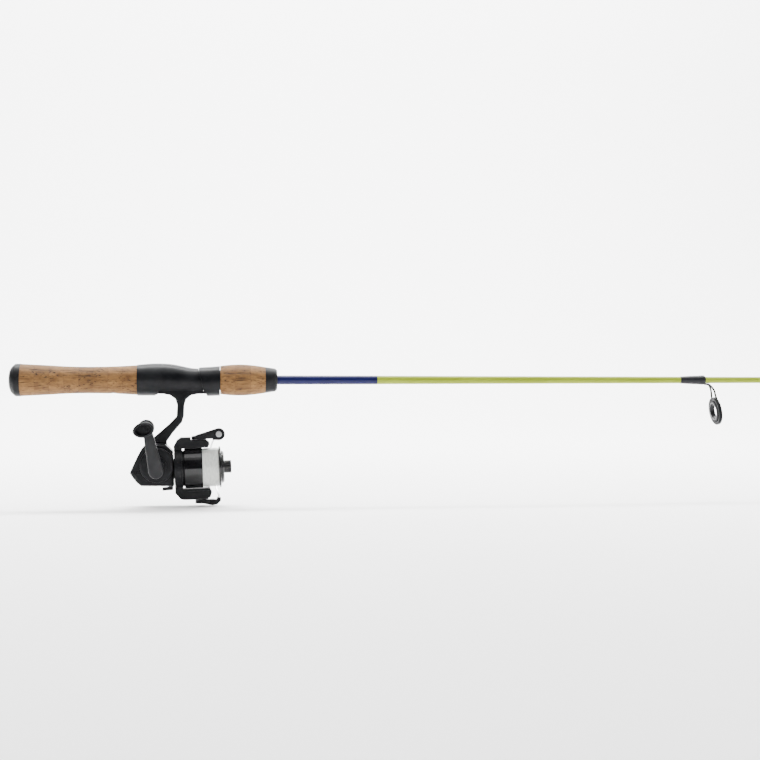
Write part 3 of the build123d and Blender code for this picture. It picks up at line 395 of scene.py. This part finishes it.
def dress_nodes():
    """Gives every CAD node its material."""
    dressed = set()
    for look, names in NODE_LOOKS.items():
        for name in names:
            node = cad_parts[name]
            node.data.materials.clear()
            node.data.materials.append(LOOKS[look])
            dressed.add(name)
    missing = set(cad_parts) - dressed
    if missing:
        raise RuntimeError(f"no material for {sorted(missing)}")


# ---------------------------------------------------------------- extra pieces
def tube_mesh(name, points, radius, sides, look):
    """A round tube along a polyline, as one mesh."""
    vertices = []
    faces = []
    for index, point in enumerate(points):
        before = points[max(index - 1, 0)]
        after = points[min(index + 1, len(points) - 1)]
        tangent = (after - before).normalized()
        outward = Vector((0, point.y, point.z)).normalized()
        side = tangent.cross(outward).normalized()
        outward = side.cross(tangent)
        for step in range(sides):
            angle = 2 * math.pi * step / sides
            rim = outward * (radius * math.cos(angle)) + side * (radius * math.sin(angle))
            vertices.append(point + rim)
        if index:
            start = (index - 1) * sides
            for step in range(sides):
                near, far = start + step, start + (step + 1) % sides
                faces.append((near, far, far + sides, near + sides))
    mesh = bpy.data.meshes.new(name)
    mesh.from_pydata([tuple(v) for v in vertices], [], faces)
    for polygon in mesh.polygons:
        polygon.use_smooth = True
    piece = bpy.data.objects.new(name, mesh)
    bpy.context.collection.objects.link(piece)
    mesh.materials.append(look)
    return piece


def add_line_turns():
    """The top layer of line on the spool: close turns of monofilament laid over the winding."""
    turns = (LINE_END - LINE_START) / LINE_PITCH
    points = []
    for index in range(int(turns * LINE_STEPS_PER_TURN)):
        angle = 2 * math.pi * index / LINE_STEPS_PER_TURN
        x = LINE_START + LINE_PITCH * index / LINE_STEPS_PER_TURN
        edge = min(x - LINE_START, LINE_END - x)
        drop = max(0.0, 1.0 - edge / LINE_EDGE_WIDTH) * LINE_EDGE_DROP
        sway = 0.05 * MM * math.sin(angle * 0.37) + 0.03 * MM * math.sin(angle * 1.93)
        radius = LINE_LAYER_RADIUS - drop + sway * 0.6
        points.append(Vector((x + sway, radius * math.sin(angle), radius * math.cos(angle))))
    piece = tube_mesh("line_top_turns", points, LINE_RADIUS, LINE_SIDES, LOOKS["line"])
    piece.data.transform(REEL_MATRIX)
    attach(piece, "spool")


# ---------------------------------------------------------------- studio
def add_studio():
    """A pale floor that curves up behind the object."""
    look = Look("studio_paper", roughness=0.9)
    look.color(look.mix(look.noise(look.coords(), 3.0, 2.0), PAPER_LOW, PAPER_HIGH))
    floor_z = CAD_BOX[0][2] - FLOOR_GAP
    profile = [(FLOOR_FRONT, floor_z), (BEND_START, floor_z)]
    for step in range(1, BEND_STEPS + 1):
        angle = math.pi / 2 * step / BEND_STEPS
        forward, rise = BEND_RADIUS * math.sin(angle), BEND_RADIUS * (1 - math.cos(angle))
        profile.append((BEND_START + forward, floor_z + rise))
    profile.append((BEND_START + BEND_RADIUS, WALL_TOP))
    vertices = [(x, y, z) for y, z in profile for x in (FLOOR_LEFT, FLOOR_RIGHT)]
    faces = [(2 * i, 2 * i + 1, 2 * i + 3, 2 * i + 2) for i in range(len(profile) - 1)]
    mesh = bpy.data.meshes.new("studio_floor")
    mesh.from_pydata(vertices, [], faces)
    for polygon in mesh.polygons:
        polygon.use_smooth = True
    mesh.materials.append(look.material)
    floor = bpy.data.objects.new("studio_floor", mesh)
    bpy.context.collection.objects.link(floor)


def add_light(name, location, target, size, energy):
    """A soft rectangular lamp aimed at a point."""
    data = bpy.data.lights.new(name, "AREA")
    data.shape = "RECTANGLE"
    data.size, data.size_y = size
    data.energy = energy
    lamp = bpy.data.objects.new(name, data)
    lamp.location = location
    lamp.rotation_euler = (Vector(target) - Vector(location)).to_track_quat("-Z", "Y").to_euler()
    bpy.context.collection.objects.link(lamp)


def add_lights():
    """An overhead soft box, a front fill, a low bounce, and wash on the backdrop."""
    middle = (0.25, 0.0, -0.03)
    add_light("overhead_box", (0.25, 0.0, 1.35), (0.25, -0.05, 0.0), (2.8, 1.3), 46)
    add_light("front_fill", (-0.9, -1.4, 0.75), middle, (0.7, 0.7), 6)
    add_light("right_fill", (1.5, -1.0, 0.6), middle, (0.6, 0.6), 3.5)
    add_light("floor_front", (0.2, -0.9, 1.5), (0.2, -0.75, -0.1), (3.0, 0.8), 12)
    add_light("backdrop_wash", (0.4, 0.75, 1.9), (0.4, 1.95, 0.4), (3.6, 0.9), 310)
    add_light("floor_wash", (0.4, 0.5, 1.6), (0.4, 0.9, -0.1), (3.4, 1.0), 60)
    world = bpy.data.worlds.new("studio_world")
    bpy.context.scene.world = world
    world.use_nodes = True
    background = world.node_tree.nodes["Background"]
    background.inputs["Color"].default_value = (1.0, 1.0, 1.0, 1.0)
    background.inputs["Strength"].default_value = WORLD_STRENGTH


def add_camera():
    """The camera level with the rod, a little to the reel's right, as in the photograph."""
    data = bpy.data.cameras.new("camera")
    data.sensor_width = CAMERA_SENSOR
    data.lens = CAMERA_LENS
    camera = bpy.data.objects.new("camera", data)
    camera.location = CAMERA_PLACE
    camera.rotation_euler = (math.radians(90), 0, CAMERA_TURN)
    bpy.context.collection.objects.link(camera)
    bpy.context.scene.camera = camera


dress_nodes()
add_line_turns()
add_studio()
add_lights()
add_camera()
